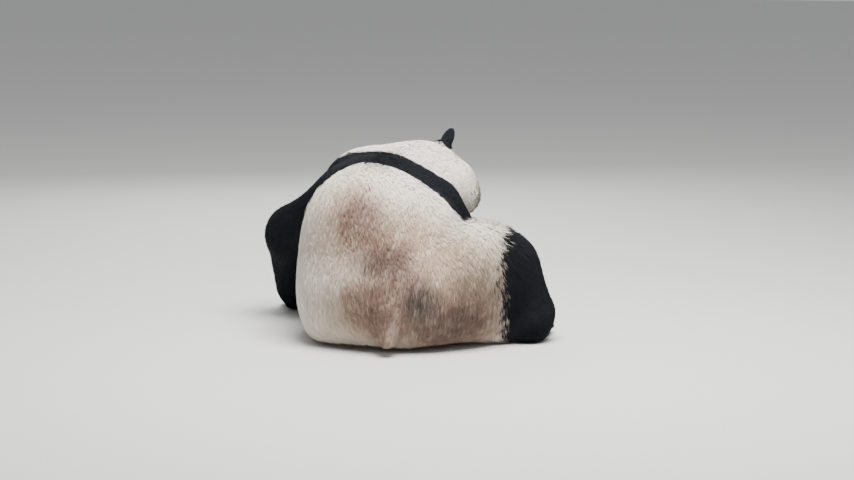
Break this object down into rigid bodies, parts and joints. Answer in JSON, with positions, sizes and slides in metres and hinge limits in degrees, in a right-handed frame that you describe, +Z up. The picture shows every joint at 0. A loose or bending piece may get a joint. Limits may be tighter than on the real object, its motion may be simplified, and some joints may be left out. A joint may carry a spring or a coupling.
{
  "type": "giant panda",
  "caption": "Life-size still model of an adult giant panda, sitting slumped forward on its rump and forepaws, with its head turned to its right.",
  "frame": {"origin": "on the flat under the rump, at the middle of the seat", "axes": "+Z up, the animal faces -Y, +X to the animal's left"},
  "size_m": [1.006, 0.9808, 0.6216],
  "materials": {
    "white_fur": "matt cream-white fur",
    "black_fur": "matt black fur",
    "nose": "bare, slightly moist skin",
    "eye": "wet and glossy",
    "claw": "horn, worn"
  },
  "bodies": {
    "root": {"head": "white_fur", "neck": "white_fur", "tail": "white_fur", "trunk": "white_fur", "ear_left": "black_fur", "ear_right": "black_fur", "upper_arm_left": "black_fur", "forearm_left": "black_fur", "paw_left": "black_fur", "upper_arm_right": "black_fur", "forearm_right": "black_fur", "paw_right": "black_fur", "thigh_left": "black_fur", "shank_left": "black_fur", "foot_left": "black_fur", "thigh_right": "black_fur", "shank_right": "black_fur", "foot_right": "black_fur", "shoulders": "black_fur", "nose": "nose", "eye_left": "eye", "eye_right": "eye", "claw_paw_left_1": "claw", "claw_paw_left_2": "claw", "claw_paw_left_3": "claw", "claw_paw_left_4": "claw", "claw_paw_left_5": "claw", "claw_paw_right_1": "claw", "claw_paw_right_2": "claw", "claw_paw_right_3": "claw", "claw_paw_right_4": "claw", "claw_paw_right_5": "claw", "claw_foot_left_1": "claw", "claw_foot_left_2": "claw", "claw_foot_left_3": "claw", "claw_foot_left_4": "claw", "claw_foot_left_5": "claw", "claw_foot_right_1": "claw", "claw_foot_right_2": "claw", "claw_foot_right_3": "claw", "claw_foot_right_4": "claw", "claw_foot_right_5": "claw"}
  },
  "joints": []
}
